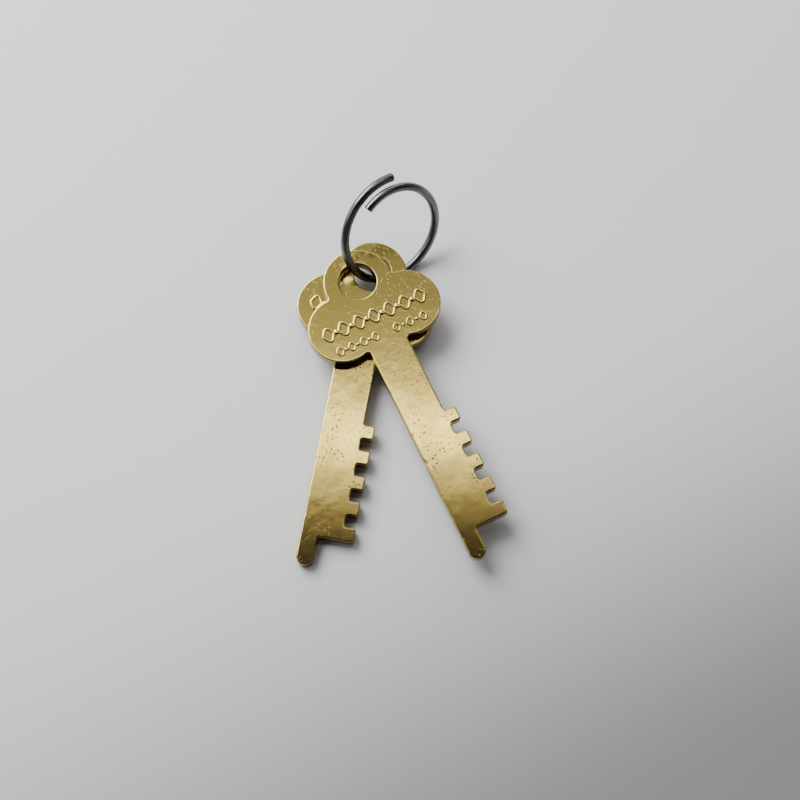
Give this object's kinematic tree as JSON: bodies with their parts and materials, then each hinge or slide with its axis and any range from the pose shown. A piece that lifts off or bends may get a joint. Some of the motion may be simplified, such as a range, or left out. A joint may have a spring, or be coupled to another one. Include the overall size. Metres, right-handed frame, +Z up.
{
  "type": "flat keys on ring",
  "caption": "Flat brass lever-lock keys with three-lobed bows, fanned out on a round wire ring that stands up from the table.",
  "frame": {"origin": "under the middle of the set's box, on the surface it lies on", "axes": "+Z up, +Y from the keys' tips towards the ring"},
  "size_m": [0.0358, 0.0646, 0.0183],
  "materials": {
    "key_brass": "brushed and tarnished",
    "ring_steel": "drawn wire, dark satin"
  },
  "bodies": {
    "lower_key": {"key_lower": "key_brass"},
    "upper_key": {"key_upper": "key_brass"},
    "ring": {"key_ring": "ring_steel"}
  },
  "joints": [
    {"name": "upper_key_fan", "type": "hinge", "parent": "lower_key", "child": "upper_key", "pos_m": [-0.00734, 0.01714, 0.00432], "axis": [-0.0073, -0.0416, 0.9991], "range_deg": [-100, 36]},
    {"name": "ring_swing", "type": "hinge", "parent": "lower_key", "child": "ring", "pos_m": [-0.00703, 0.01887, 0.00539], "axis": [0.7739, 0.6326, 0.032], "range_deg": [0, 35]}
  ]
}
